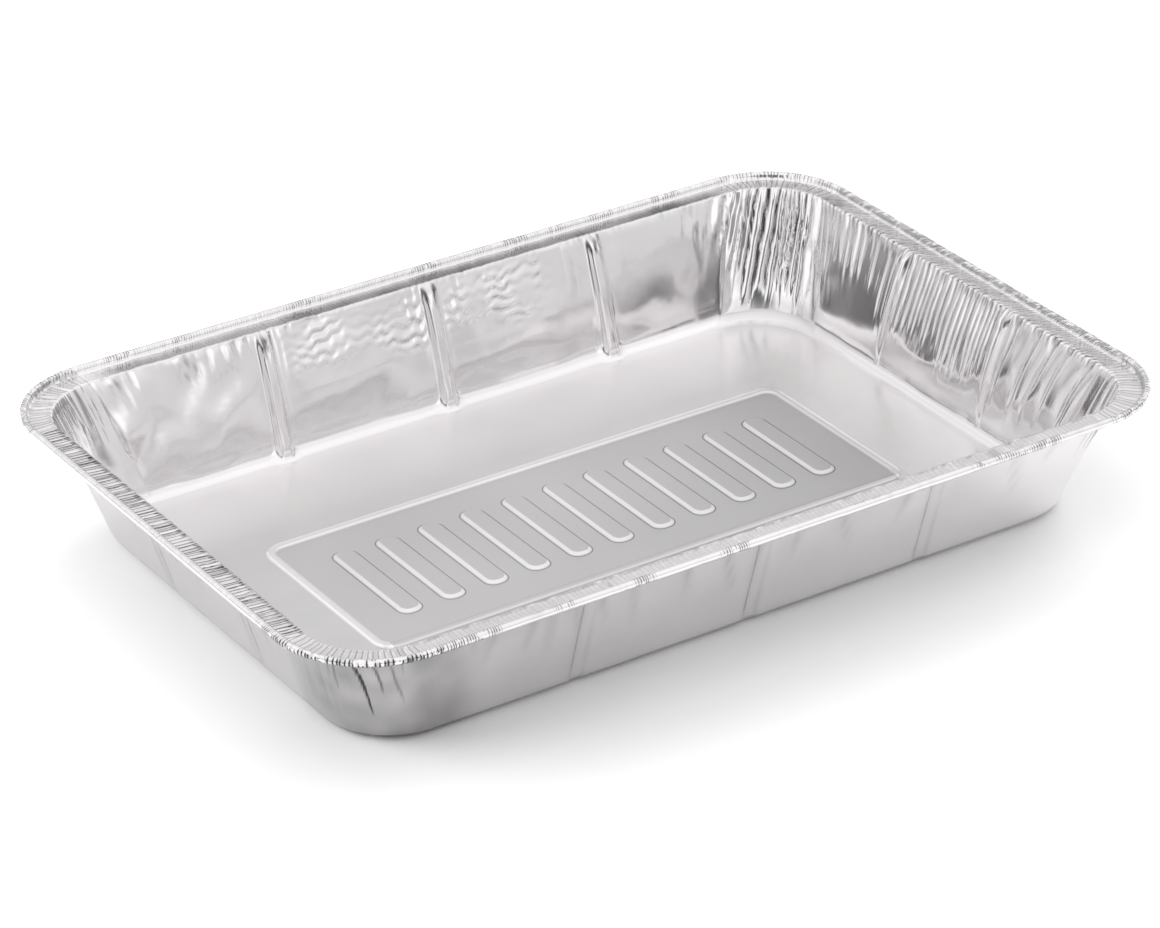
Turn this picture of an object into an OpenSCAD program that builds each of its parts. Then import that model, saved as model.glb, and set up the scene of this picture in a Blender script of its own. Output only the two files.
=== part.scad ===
// Foil drip pan: one sheet of soft aluminium foil, pressed into a shallow tray.
// The walls slope out from a flat floor, with ribs pressed into them and the spare
// foil gathered into pleats. A fold at the top leads to a flat shelf, and the edge of
// the sheet is rolled outward round the whole rim. A bead frames raised ribs on the floor.
// Origin: middle of the underside of the floor. +Z up, the long side along X.

/* [Rim] */
// Length over the rolled edge
rim_l = 340; // [310:1:400]
// Width over the rolled edge
rim_w = 236; // [210:1:290]
// Height of the flat shelf above the table
shelf_h = 45; // [30:1:60]
// Width of the flat shelf between the wall and the roll
shelf_w = 7; // [4:0.5:10]
// Outside diameter of the rolled edge
roll_d = 3.2; // [2.6:0.1:4]
// Height of the middle of the roll above the shelf
roll_rise = 0.8; // [0.4:0.1:1]
// Angle through which the edge is rolled
roll_turn = 315; // [240:5:320]

/* [Foil] */
// Thickness of the foil
foil_t = 0.1; // [0.08:0.01:0.16]

/* [Walls] */
// Slope of the walls, measured from upright
wall_draft = 17; // [10:1:22]
// Radius of the four corners, seen from above
corner_r = 25; // [18:1:35]
// Radius between the floor and the walls
floor_r = 5; // [3:0.5:7]
// Radius of the fold at the top of the walls
fold_r = 1; // [0.6:0.1:2]

/* [Wall ribs] */
// Width of a rib
rib_w = 6; // [5:0.5:10]
// How far a rib stands into the pan
rib_d = 1.8; // [0.5:0.1:3]
// Number of ribs in each long wall
long_ribs = 3; // [1:1:3]
// Distance between the ribs of a long wall
long_pitch = 69; // [40:0.5:80]
// Distance of the middle of the long walls' ribs from the middle of the pan
long_shift = 2.5; // [-10:0.5:10]
// Number of ribs in each short wall
short_ribs = 2; // [1:1:3]
// Distance between the ribs of a short wall
short_pitch = 60; // [25:1:60]

/* [Pleats] */
// Number of pleats in each corner
corner_pleats = 14; // [6:1:16]
// Depth of the corner pleats, from crest to valley
corner_pleat_d = 1.5; // [0.4:0.1:2]
// Distance between the fine pleats of the short walls
pleat_pitch = 5; // [4.5:0.5:12]
// Depth of the fine pleats, from crest to valley
pleat_d = 0.6; // [0.2:0.1:1]

/* [Floor] */
// Length of the frame pressed into the floor
frame_l = 216; // [200:1:225]
// Width of the frame
frame_w = 84; // [72:1:110]
// Outside corner radius of the frame
frame_r = 8; // [6:0.5:10]
// Width of the bead that makes the frame
bead_w = 4; // [3:0.5:5]
// Height of the bead
bead_h = 1.2; // [0.4:0.1:2]
// Number of raised ribs in the frame
floor_ribs = 11; // [4:1:11]
// Distance between the raised ribs
floor_rib_pitch = 17; // [14:0.5:17]
// Length of a raised rib
floor_rib_l = 50; // [20:1:56]
// Width of a raised rib
floor_rib_w = 10; // [9:0.5:12]
// Corner radius of a raised rib
floor_rib_r = 4.4; // [3:0.1:4.4]
// Width of the slope round a raised rib
floor_rib_slope = 2.2; // [1:0.1:2.6]
// Height of a raised rib
floor_rib_h = 1.3; // [0.4:0.1:2]

/* [Hidden] */
foil_colour = [0.84, 0.85, 0.86];
// Steps of an arc at the corners of the rim, the frame and the raised ribs
rim_steps = 10;
frame_steps = 5;
floor_rib_steps = 4;
// Steps round the roll
roll_steps = 11;
// Flat foil kept round each raised rib inside its share of the frame
cell_margin = 2;
// Seed of the unevenness of the pleats
pleat_seed = 7;

// The section is worked out as pairs of points, [out, up] from the edge of the flat
// floor: first the underside of the foil, then its upper side.
wall_a = 90 - wall_draft;
function fillet(a) = [
    [(floor_r + foil_t) * sin(a), (floor_r + foil_t) * (1 - cos(a))],
    [floor_r * sin(a), foil_t + floor_r * (1 - cos(a))]
];
straight_h = shelf_h - foil_t - fold_r * (1 - cos(wall_a)) - fillet(wall_a)[0][1];
fold_out = fillet(wall_a)[0][0] + straight_h / tan(wall_a) + fold_r * sin(wall_a);
function fold(a) = [
    for (r = [fold_r, fold_r + foil_t]) [fold_out - r * sin(a), shelf_h - foil_t - fold_r + r * cos(a)]
];
function between(f) = (1 - f) * fillet(wall_a) + f * fold(wall_a);

// The roll is a circle cut off by the shelf; the foil starts round it on the inner side.
roll_r = roll_d / 2;
roll_out = fold_out + shelf_w + roll_r;
roll_end = 180 + asin(roll_rise / roll_r) - roll_turn;
function roll_start(r, drop) = 180 + asin((roll_rise + drop) / r);
function roll_point(r, a) = [roll_out + r * cos(a), shelf_h + roll_rise + r * sin(a)];
function roll(f) = [
    for (side = [[roll_r - foil_t, foil_t], [roll_r, 0]])
        roll_point(side[0], (1 - f) * roll_start(side[0], side[1]) + f * roll_end)
];

// Levels of the wall: the pair, then how strongly ribs, corner pleats and fine pleats show.
wall_levels = [
    [fillet(0), 0, 0, 0],
    [fillet(wall_a / 2), 0.7, 0, 0],
    [fillet(wall_a), 1, 0.1, 0],
    [between(0.55), 1, 0.7, 0.5],
    [between(1), 0.8, 1, 1],
    [fold(wall_a / 2), 0.3, 0.6, 0.6],
    [fold(0), 0, 0, 0]
];
rim_levels = [for (i = [0:roll_steps]) roll(i / roll_steps)];

floor_x = rim_l / 2 - roll_d - shelf_w - fold_out;
floor_y = rim_w / 2 - roll_d - shelf_w - fold_out;

// A closed outline is a rounded rectangle [half length, half width, radius]. Its stations
// run counter-clockwise over four sides, front first, and each is
// [side, along, turn, place, rib, corner pleat, fine pleat]. Along is a place on the
// straight part, [length, share], from its middle: the share is of half the straight part,
// so that ribs stand upright while the ends of the sides move out with the corners. Turn is
// the angle in the corner that follows. Place runs from 0 to 8, one step for each straight
// part and each corner.
function side_way(k) = [[1, 0], [0, 1], [-1, 0], [0, -1]][k];
function side_out(k) = [[0, -1], [1, 0], [0, 1], [-1, 0]][k];
function half_along(box, k) = k % 2 == 0 ? box[0] : box[1];
function half_out(box, k) = k % 2 == 0 ? box[1] : box[0];
function outward(st) = cos(st[2]) * side_out(st[0]) + sin(st[2]) * side_way(st[0]);
function straight_point(st, box) =
    (st[1][0] + st[1][1] * (half_along(box, st[0]) - box[2])) * side_way(st[0])
    + half_out(box, st[0]) * side_out(st[0]);
function corner_point(st, box) = (half_along(box, st[0]) - box[2]) * side_way(st[0])
    + (half_out(box, st[0]) - box[2]) * side_out(st[0]) + box[2] * outward(st);
function on_outline(st, box) = st[3] % 2 >= 1 ? corner_point(st, box) : straight_point(st, box);
function side_start(k) = [k, [0, -1], 0, 2 * k, 0, 0, 0];

// Stations of a plain outline: the start of each side, then the corner after it
function plain_stations(steps) = [
    for (k = [0:3]) each concat(
        [side_start(k)],
        [for (j = [0:steps - 1]) [k, [0, 1], 90 * j / steps, 2 * k + 1 + j / steps, 0, 0, 0]]
    )
];

// Stations of the wall, with points for the shape of each rib and for each pleat
wall_box = [floor_x, floor_y, corner_r];
function straight_half(k) = half_along(wall_box, k) - corner_r;
function rib_list(k) = let(
    count = k % 2 == 0 ? long_ribs : short_ribs,
    pitch = k % 2 == 0 ? long_pitch : short_pitch,
    shift = k == 0 ? long_shift : k == 2 ? -long_shift : 0
) [for (i = [0:count - 1]) shift + (i - (count - 1) / 2) * pitch];
function on_side(k, along, rib, pleat) =
    [k, along, 0, 2 * k + (along[0] / straight_half(k) + along[1] + 1) / 2, rib, 0, pleat];
rib_shape = [[-0.5, 0], [-0.25, 0.65], [0, 1], [0.25, 0.65], [0.5, 0]];
function rib_stations(k, at) = [for (s = rib_shape) on_side(k, [at + s[0] * rib_w, 0], s[1], 0)];
function uneven(i) = rands(0.55, 1, 1, pleat_seed + i)[0];
function pleat_count(k, from, to) =
    k % 2 == 0 ? 0 : floor((to - from) * [1, straight_half(k)] / pleat_pitch);
function pleat_stations(k, from, to) = let(n = 2 * pleat_count(k, from, to)) [
    for (j = [1:1:n - 1])
        on_side(k, from + (to - from) * j / n, 0, (j % 2 == 0 ? 1 : -1) * uneven(j + 40 * k))
];
function side_stations(k) = let(ribs = rib_list(k), last = len(ribs) - 1) concat(
    [side_start(k)],
    pleat_stations(k, [0, -1], [ribs[0] - rib_w / 2, 0]),
    [for (i = [0:last]) each concat(
        rib_stations(k, ribs[i]),
        pleat_stations(k, [ribs[i] + rib_w / 2, 0], i < last ? [ribs[i + 1] - rib_w / 2, 0] : [0, 1])
    )]
);
function corner_stations(k) = let(n = 2 * corner_pleats) [
    for (j = [0:n - 1]) [k, [0, 1], 90 * j / n, 2 * k + 1 + j / n, 0,
        (j % 2 == 0 ? 1 : -1) * sqrt(sin(180 * j / n)) * uneven(j + 100 * (k + 1)), 0]
];
wall_stations = [for (k = [0:3]) each concat(side_stations(k), corner_stations(k))];
rim_stations = plain_stations(rim_steps);
frame_stations = plain_stations(frame_steps);
rib_outline = plain_stations(floor_rib_steps);

// Outline of the wall or the rim at a distance out from the flat floor
function level_box(out) = [floor_x + out, floor_y + out, corner_r + max(0, out - fold_out)];

// One ring of the wall on one side of the foil, pushed in or out along the section's normal
function push(st, level) = rib_d * st[4] * level[1] + corner_pleat_d / 2 * st[5] * level[2]
    + pleat_d / 2 * st[6] * level[3];
function wall_ring(level, side) = let(
    pair = level[0],
    across = (pair[1] - pair[0]) / norm(pair[1] - pair[0]),
    box = level_box(pair[side][0])
) [
    for (st = wall_stations) let(d = push(st, level), xy = on_outline(st, box) + d * across[0] * outward(st))
        [xy[0], xy[1], pair[side][1] + d * across[1]]
];
function flat_ring(stations, box, middle, z) = [
    for (st = stations) let(xy = on_outline(st, box) + middle) [xy[0], xy[1], z]
];
function rim_ring(pair, side) = flat_ring(rim_stations, level_box(pair[side][0]), [0, 0], pair[side][1]);

// Rings of the floor: the bead of the frame, then the raised ribs, each in its own cell
bead_shape = [[0, 0], [0.22, 0.8], [0.5, 1], [0.78, 0.8], [1, 0]];
function frame_ring(s, side) = let(d = s[0] * bead_w)
    flat_ring(frame_stations, [frame_l / 2 - d, frame_w / 2 - d, frame_r - d], [0, 0], s[1] * bead_h + side * foil_t);
cell_y = floor_rib_l / 2 + cell_margin;
function cell_x(i) = (i - floor_ribs / 2) * floor_rib_pitch;
function cell_corners(side) = concat(
    [for (i = [0:floor_ribs]) [cell_x(i), -cell_y, side * foil_t]],
    [for (i = [floor_ribs:-1:0]) [cell_x(i), cell_y, side * foil_t]]
);
cell_places = concat(
    [for (i = [0:floor_ribs]) i == 0 ? 0 : i == floor_ribs ? 1.5 : i / floor_ribs],
    [for (i = [0:floor_ribs]) i == 0 ? 3.5 : i == floor_ribs ? 5.5 : 4 + i / floor_ribs]
);
function floor_rib_ring(i, inset, z) = flat_ring(rib_outline,
    [floor_rib_w / 2 - inset, floor_rib_l / 2 - inset, floor_rib_r - inset],
    [(cell_x(i) + cell_x(i + 1)) / 2, 0], z);

function sheet(side) = concat(
    [for (p = [len(rim_levels) - 1:-1:0]) each rim_ring(rim_levels[p], side)],
    [for (p = [len(wall_levels) - 1:-1:0]) each wall_ring(wall_levels[p], side)],
    [for (s = bead_shape) each frame_ring(s, side)],
    cell_corners(side),
    [for (i = [0:floor_ribs - 1]) each concat(
        floor_rib_ring(i, 0, side * foil_t),
        floor_rib_ring(i, floor_rib_slope, floor_rib_h + side * foil_t)
    )]
);

// Faces of one side of the sheet, counter-clockwise from above. Each ring is joined to the
// next one inside it: equal rings by a strip, unequal ones by a zip that always takes the
// step whose middle comes first.
rim_n = len(rim_stations);
wall_n = len(wall_stations);
frame_n = len(frame_stations);
cell_n = len(cell_places);
rib_n = len(rib_outline);
wall_at = len(rim_levels) * rim_n;
frame_at = wall_at + len(wall_levels) * wall_n;
cell_at = frame_at + len(bead_shape) * frame_n;
floor_rib_at = cell_at + cell_n;
side_n = floor_rib_at + 2 * rib_n * floor_ribs;

function strip(outer, inner, n) = [
    for (i = [0:n - 1]) let(j = (i + 1) % n) each [
        [outer + i, outer + j, inner + j],
        [outer + i, inner + j, inner + i]
    ]
];
function strips(first, n, rings) = [for (r = [0:rings - 2]) each strip(first + r * n, first + (r + 1) * n, n)];
function places(stations) = [for (st = stations) st[3]];
function middles(p) = [for (i = [0:len(p) - 1]) (p[i] + (i + 1 < len(p) ? p[i + 1] : 8)) / 2];
function before(list, v) = len([for (m = list) if (m < v) m]);
function up_to(list, v) = len([for (m = list) if (m <= v) m]);
function zip(outer, outer_places, inner, inner_places) = let(
    a = middles(outer_places),
    b = middles(inner_places),
    na = len(outer),
    nb = len(inner)
) concat(
    [for (i = [0:na - 1]) [outer[i], outer[(i + 1) % na], inner[before(b, a[i]) % nb]]],
    [for (j = [0:nb - 1]) [outer[up_to(a, b[j]) % na], inner[(j + 1) % nb], inner[j]]]
);
function run(first, n) = [for (i = [0:n - 1]) first + i];
function cap(first, n) = [for (i = [1:n - 2]) [first, first + i, first + i + 1]];
function cell(i) = [for (j = [i, i + 1, 2 * floor_ribs - i, 2 * floor_ribs + 1 - i]) cell_at + j];
function cell_faces(i) = let(at = floor_rib_at + 2 * rib_n * i) concat(
    zip(cell(i), [0, 1.5, 3.5, 5.5], run(at, rib_n), places(rib_outline)),
    strip(at, at + rib_n, rib_n),
    cap(at + rib_n, rib_n)
);
sheet_faces = concat(
    strips(0, rim_n, len(rim_levels)),
    zip(run(wall_at - rim_n, rim_n), places(rim_stations), run(wall_at, wall_n), places(wall_stations)),
    strips(wall_at, wall_n, len(wall_levels)),
    zip(run(frame_at - wall_n, wall_n), places(wall_stations), run(frame_at, frame_n), places(frame_stations)),
    strips(frame_at, frame_n, len(bead_shape)),
    zip(run(cell_at - frame_n, frame_n), places(frame_stations), run(cell_at, cell_n), cell_places),
    [for (i = [0:floor_ribs - 1]) each cell_faces(i)]
);
// The cut edge of the foil, at the end of the roll
edge_faces = [
    for (i = [0:rim_n - 1]) let(j = (i + 1) % rim_n) each [
        [i, j + side_n, j],
        [i, i + side_n, j + side_n]
    ]
];

module pan() {
    color(foil_colour)
        polyhedron(
            points = concat(sheet(0), sheet(1)),
            faces = concat(
                sheet_faces,
                [for (f = sheet_faces) [for (i = [2, 1, 0]) f[i] + side_n]],
                edge_faces
            )
        );
}

pan();
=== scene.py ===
# %% [markdown]
# # A foil drip pan
# The real pan is one sheet of soft aluminium foil. A press draws it into a tray, so the
# spare foil gathers into pleats at the corners, and a second tool rolls its edge.
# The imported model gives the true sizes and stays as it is. This script makes the sheet
# again with fine pleats and dents, and gives it its finish, table, light and camera. The
# dents could be sculpted by hand, but as numbers each can be changed alone.

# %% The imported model
import math
from functools import partial

import bmesh
import bpy
import numpy as np
from mathutils import Matrix, Vector, noise


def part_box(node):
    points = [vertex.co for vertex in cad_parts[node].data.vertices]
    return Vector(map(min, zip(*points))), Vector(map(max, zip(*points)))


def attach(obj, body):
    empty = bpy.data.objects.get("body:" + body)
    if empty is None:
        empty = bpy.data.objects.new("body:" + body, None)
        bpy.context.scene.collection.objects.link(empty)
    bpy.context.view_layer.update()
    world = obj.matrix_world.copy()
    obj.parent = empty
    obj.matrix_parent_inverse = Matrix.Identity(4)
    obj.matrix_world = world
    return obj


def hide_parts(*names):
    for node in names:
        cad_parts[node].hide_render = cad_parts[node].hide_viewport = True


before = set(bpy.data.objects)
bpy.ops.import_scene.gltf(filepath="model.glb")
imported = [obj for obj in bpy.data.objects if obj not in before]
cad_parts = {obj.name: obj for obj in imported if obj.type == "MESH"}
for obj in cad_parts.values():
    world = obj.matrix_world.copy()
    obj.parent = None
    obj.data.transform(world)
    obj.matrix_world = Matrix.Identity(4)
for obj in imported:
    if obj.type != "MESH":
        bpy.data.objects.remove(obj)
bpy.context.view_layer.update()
low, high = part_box("pan")
print("pan, mm:", [round(1000 * (b - a), 1) for a, b in zip(low, high)])

# %% [markdown]
# ## The section of the foil
# Every wall of the pan has the same section: floor, round fillet, sloping wall, fold,
# flat shelf and an open roll. It is worked out once, from a few sizes in millimetres, as
# a fine chain of points [out, up] from the edge of the flat floor, on the upper side of
# the foil. Each point also keeps the direction square to the foil, because dents and
# pleats push the foil that way. A chain is chosen over a drawn curve because its length
# tells which part of the sheet a point is on.

# %% Sizes and section
MM = 0.001
FOIL = 0.1
SHELF_HEIGHT = 45.0
SHELF_WIDTH = 7.0
ROLL_RADIUS = 1.6
ROLL_RISE = 0.8
ROLL_TURN = math.radians(315)
WALL_ANGLE = math.radians(73)
CORNER_RADIUS = 25.0
FLOOR_RADIUS = 5.0
FOLD_RADIUS = 1.0 + FOIL
FINE = 40


def arc_points(centre, radius, start, end):
    """Points of an arc, with the direction from its centre."""
    turns = np.linspace(start, end, FINE)
    ways = np.stack([np.cos(turns), np.sin(turns)], 1)
    return np.hstack([np.array(centre) + radius * ways, ways])


down = -math.pi / 2
fillet = arc_points((0, FLOOR_RADIUS + FOIL), FLOOR_RADIUS, down, down + WALL_ANGLE)
fillet[:, 2:] *= -1
fold_low = SHELF_HEIGHT - FOLD_RADIUS * (1 - math.cos(WALL_ANGLE))
wall_out = fillet[-1, 0] + (fold_low - fillet[-1, 1]) / math.tan(WALL_ANGLE)
FOLD_OUT = wall_out + FOLD_RADIUS * math.sin(WALL_ANGLE)
fold_centre = (FOLD_OUT, SHELF_HEIGHT - FOLD_RADIUS)
fold = arc_points(fold_centre, FOLD_RADIUS, math.pi / 2 + WALL_ANGLE, math.pi / 2)
roll_centre = (FOLD_OUT + SHELF_WIDTH + ROLL_RADIUS, SHELF_HEIGHT + ROLL_RISE)
roll_start = math.pi + math.asin(ROLL_RISE / ROLL_RADIUS)
roll = arc_points(roll_centre, ROLL_RADIUS, roll_start, roll_start - ROLL_TURN)
shelf_end = (roll[0, 0] - 0.02, SHELF_HEIGHT, 0.0, 1.0)
section = np.vstack([fillet, fold, shelf_end, roll])
steps = np.hypot(*np.diff(section[:, :2], axis=0).T)
length = np.concatenate([[0.0], np.cumsum(steps)])
WALL_START, WALL_END = length[FINE - 1], length[FINE]
SHELF_START, ROLL_START = length[2 * FINE - 1], length[2 * FINE]
ROLL_END = length[-1]
starts = [WALL_START, WALL_END, SHELF_START, ROLL_START, ROLL_END]
print("wall, fold, shelf, roll and free edge are at, mm:", np.round(starts, 1))

# %% [markdown]
# ## Stations round the pan
# The section is carried round a rounded rectangle. A station is a place on that outline.
# They lie close together in the corners and on the short walls, where the foil is
# gathered. A place on a straight part is a length and a share of half the straight part:
# the ribs keep their length, so they stand upright, while the ends of the sides move out
# with the corners.

# %% Stations
REACH = FOLD_OUT + SHELF_WIDTH + 2 * ROLL_RADIUS
floor_half = np.array([high[0] / MM - REACH, high[1] / MM - REACH])
SIDE_WAY = np.array([[1, 0], [0, 1], [-1, 0], [0, -1]])
SIDE_OUT = np.array([[0, -1], [1, 0], [0, 1], [-1, 0]])
FRONT, RIGHT, BACK, LEFT = range(4)
RIBS = {FRONT: (-66.5, 1.8, 72.0), RIGHT: (-30.0, 30.0), BACK: (-72.0, -1.8, 66.5), LEFT: (-30.0, 30.0)}
SIDE_STEPS = {FRONT: 140, RIGHT: 290, BACK: 260, LEFT: 290}
CROWDING = {FRONT: 1.5, RIGHT: 0.3, BACK: 1.2, LEFT: 0.3}
CORNER_STEPS = (80, 110, 95, 95)
RIB_REACH, CROWD_REACH = 3.3, 5.0


def side_places(side):
    """Length and share of each station of a straight side. They stand closer at the ribs."""
    steps = SIDE_STEPS[side]
    half = floor_half[side % 2] - CORNER_RADIUS
    even = np.linspace(-half, half, 2001)
    to_rib = np.min([np.abs(even - rib) for rib in RIBS[side]], axis=0)
    crowd = np.cumsum(1 + CROWDING[side] * np.exp(-((to_rib / CROWD_REACH) ** 2)))
    along = np.interp(np.arange(steps) / steps, (crowd - crowd[0]) / (crowd[-1] - crowd[0]), even)
    first, last = RIBS[side][0] - RIB_REACH, RIBS[side][-1] + RIB_REACH
    share = np.zeros(steps)
    before, after = along < first, along > last
    share[before] = -(first - along[before]) / (half + first)
    share[after] = (along[after] - last) / (half - last)
    kept = np.clip(along, first, last)
    kept[before] = first * (1 + share[before])
    kept[after] = last * (1 - share[after])
    return np.stack([kept, share], 1)


rows = []
for side in range(4):
    rows += [(side, kept, share, 0.0) for kept, share in side_places(side)]
    rows += [(side, 0.0, 1.0, math.pi / 2 * j / CORNER_STEPS[side]) for j in range(CORNER_STEPS[side])]
rows = np.roll(np.array(rows), -SIDE_STEPS[FRONT] // 2, 0)
SIDE = rows[:, 0].astype(int)
LENGTH, SHARE, TURN = rows[:, 1:].T
STATIONS = len(rows)
WAY, SIDEWARD = SIDE_WAY[SIDE], SIDE_OUT[SIDE]
OUTWARD = np.cos(TURN)[:, None] * SIDEWARD + np.sin(TURN)[:, None] * WAY


def outline(out):
    """Plan position of every station, at a distance out from the edge of the flat floor."""
    radius = CORNER_RADIUS + np.maximum(0.0, out - FOLD_OUT)
    run = np.where(SIDE % 2 == 0, floor_half[0], floor_half[1])[:, None] + out - radius
    off = np.where(SIDE % 2 == 0, floor_half[1], floor_half[0])[:, None] + out - radius
    along = LENGTH[:, None] + SHARE[:, None] * run
    plan = along[..., None] * WAY[:, None] + off[..., None] * SIDEWARD[:, None]
    return plan + radius[..., None] * OUTWARD[:, None]


wall_top = outline(np.full((STATIONS, 1), FOLD_OUT))[:, 0]
AROUND = np.concatenate([[0.0], np.cumsum(np.linalg.norm(np.diff(wall_top, axis=0), axis=1))])
CORNER_ARC = CORNER_RADIUS * math.pi / 4
FRONT_RIGHT, BACK_RIGHT, BACK_LEFT, NEAR = range(4)
middles = [AROUND[np.flatnonzero((SIDE == k) & (TURN > 0))].mean() for k in range(4)]
print("stations:", STATIONS, "corner middles at, mm:", np.round(middles))

# %% [markdown]
# ## Levels up the foil
# A level is a row of points at one place of the section. The back wall has small ripples
# near its top, so it gets three times as many levels there. The front and left walls are
# plainer, so they leave out every second level of the wall.

# %% Levels
FILLET_LEVELS, LOW_LEVELS, HIGH_LEVELS, FOLD_LEVELS, ROLL_LEVELS = 4, 5, 10, 3, 8
BACK_LOW_PLACES = (0.06, 0.13, 0.21, 0.31, 0.43)
SHELF_PLACES = (0.2, 0.5, 0.8, 0.995)
DENSER = 3


def smooth(value, start, end):
    """0 up to start, 1 from end on, and an S curve between them."""
    t = np.clip((value - start) / (end - start), 0.0, 1.0)
    return t * t * (3 - 2 * t)


def fade(value, start, end):
    """1 up to start, 0 from end on, and an S curve between them."""
    return 1 - smooth(value, start, end)


def rising(start, end, count):
    """Even steps from just after start to end."""
    return np.linspace(start, end, count + 1)[1:]


from_corner = np.min([np.abs(AROUND - m) for m in middles], axis=0)
even_split = LOW_LEVELS / (LOW_LEVELS + HIGH_LEVELS)
even = np.concatenate([rising(0, even_split, LOW_LEVELS), rising(even_split, 1, DENSER * HIGH_LEVELS)])
crowded = np.concatenate([BACK_LOW_PLACES, rising(BACK_LOW_PLACES[-1], 1, DENSER * HIGH_LEVELS)])
back_share = smooth(from_corner, CORNER_ARC, CORNER_ARC + 15) * (SIDE == BACK) * (TURN == 0)
wall_share = even + back_share[:, None] * (crowded - even)
RUN = np.hstack(
    [
        np.tile(np.linspace(0, WALL_START, FILLET_LEVELS + 1), (STATIONS, 1)),
        WALL_START + (WALL_END - WALL_START) * wall_share,
        np.tile(rising(WALL_END, SHELF_START, FOLD_LEVELS), (STATIONS, 1)),
        np.tile(SHELF_START + (ROLL_START - SHELF_START) * np.array(SHELF_PLACES), (STATIONS, 1)),
        np.tile(rising(ROLL_START, ROLL_END, ROLL_LEVELS), (STATIONS, 1)),
    ]
)
LEVELS = RUN.shape[1]
first_high = FILLET_LEVELS + LOW_LEVELS + 1
high_rows = range(first_high, first_high + DENSER * HIGH_LEVELS)
EXTRA_LEVELS = {level for level in high_rows if (level - first_high + 1) % DENSER}
SPARE_LEVELS = set(range(FILLET_LEVELS + 2, first_high, 2)) | set(high_rows[DENSER - 1 :: 2 * DENSER])
OUT, UP, NORMAL_OUT, NORMAL_UP = [np.interp(RUN, length, column) for column in section.T]
PLACE = np.concatenate([outline(OUT), UP[..., None]], 2)
SQUARE = np.concatenate([NORMAL_OUT[..., None] * OUTWARD[:, None], NORMAL_UP[..., None]], 2)
HEIGHT = np.clip((RUN - WALL_START) / (WALL_END - WALL_START), 0, 1)
ON_WALL = smooth(RUN, 0.3 * WALL_START, WALL_START + 3) * fade(RUN, WALL_END, SHELF_START)
ON_SHELF = smooth(RUN, WALL_END, SHELF_START) * fade(RUN, ROLL_START - 0.5, ROLL_START + 0.5)
ON_ROLL = smooth(RUN, ROLL_START, ROLL_START + 1.5)
print("levels:", LEVELS, "only at the ripples:", len(EXTRA_LEVELS), "spare:", len(SPARE_LEVELS))

# %% [markdown]
# ## Ways to gather and dent foil
# Gathered foil stands in round ridges with sharp valleys between them, so a gather is a
# row of arcs. Their widths, depths and lower ends differ, and noise bends them a little.
# Handled foil has soft dents, and flat facets that meet in creases: those are folded
# waves in a few drawn directions. A cloth simulation could crumple the sheet as well, but
# wouldn't put the pleats in their real places.

# %% Gathers, creases and facets


def soft_noise(scale, seed, points=None):
    """Smooth noise of about -1 to 1 at each point of the sheet."""
    points = PLACE if points is None else points
    flat = points.reshape(-1, 3) / scale + 17.3 * seed
    return np.array([noise.noise(Vector(p)) for p in flat]).reshape(points.shape[:-1])


def gathers(place, pitch, spread, seed):
    """Number of the gather at each place, and place across it from -1 to 1."""
    draw = np.random.default_rng(seed)
    widths = pitch * draw.uniform(1 - spread, 1 + spread, int(1400 / pitch))
    edges = np.cumsum(widths)
    number = np.clip(np.searchsorted(edges, place), 0, len(edges) - 1)
    across = 1 - 2 * (edges[number] - place) / widths[number]
    return number, np.clip(across, -1, 1)


def tube(across):
    """A round ridge with sharp valleys beside it: 0 in the valleys, 1 on top."""
    return np.sqrt(1 - across**2)


def swell(across):
    """A soft ridge with soft valleys: 0 in the valleys, 1 on top."""
    return 0.5 + 0.5 * np.cos(math.pi * across)


def valley(across):
    """1 in the closed fold between two gathers, 0 away from it."""
    return smooth(np.abs(across), 0.6, 1.0)


def per_gather(number, least, most, seed):
    """A number drawn for each gather."""
    return np.random.default_rng(seed).uniform(least, most, 2000)[number]


def facets(seed, count, least, most):
    """Flat facets that meet in creases, about -1 to 1, from folded waves in drawn directions."""
    draw = np.random.default_rng(seed)
    bend = soft_noise(28, seed + 1)[..., None] * 5
    total = np.zeros(PLACE.shape[:2])
    for _ in range(count):
        way = draw.normal(size=3)
        way /= np.linalg.norm(way)
        wave = draw.uniform(least, most)
        phase = ((PLACE + bend) @ way) / wave + draw.uniform()
        total += (np.abs(2 * (phase % 1) - 1) - 0.5) * wave / most
    return total / math.sqrt(count)


def crease(along, start, end, width):
    """1 on a crease between two places [along the wall, up the wall] in mm, 0 beside it."""
    run = np.subtract(end, start)
    from_start = np.stack([along - start[0], RUN - WALL_START - start[1]], -1)
    share = np.clip(from_start @ run / (run @ run), 0, 1)
    gap = np.linalg.norm(from_start - share[..., None] * run, axis=-1)
    return np.exp(-((gap / width) ** 2)) * (1 - 0.6 * np.abs(2 * share - 1))


# %% [markdown]
# ## The height of every gather and dent
# Each effect is a depth in millimetres at every point of the sheet, strong where the
# real foil shows it. First come the pleats: close round ones in the corners, which run
# on over the shelf, and wider ones on both sides of the corner at the back.

# %% Pleats of the corners


def every_level(values):
    """A value of each station, repeated for all its levels."""
    return np.repeat(np.asarray(values, float)[:, None], LEVELS, 1)


around = every_level(AROUND)
off_middle = every_level(from_corner)
on_side = [every_level((SIDE == side) & (TURN == 0)) for side in range(4)]
on_front, on_right, on_back, on_left = on_side
on_long = on_front + on_back
in_corner = 1.0 - sum(on_side)
x, y = PLACE[..., 0], PLACE[..., 1]
sway = soft_noise(14, 3)
jitter = soft_noise(5, 4)
depth = np.zeros((STATIONS, LEVELS))
# Painted shade: how much darker the foil is drawn at each point, in valleys, creases and crevices.
painted_shade = np.zeros((STATIONS, LEVELS))


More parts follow.
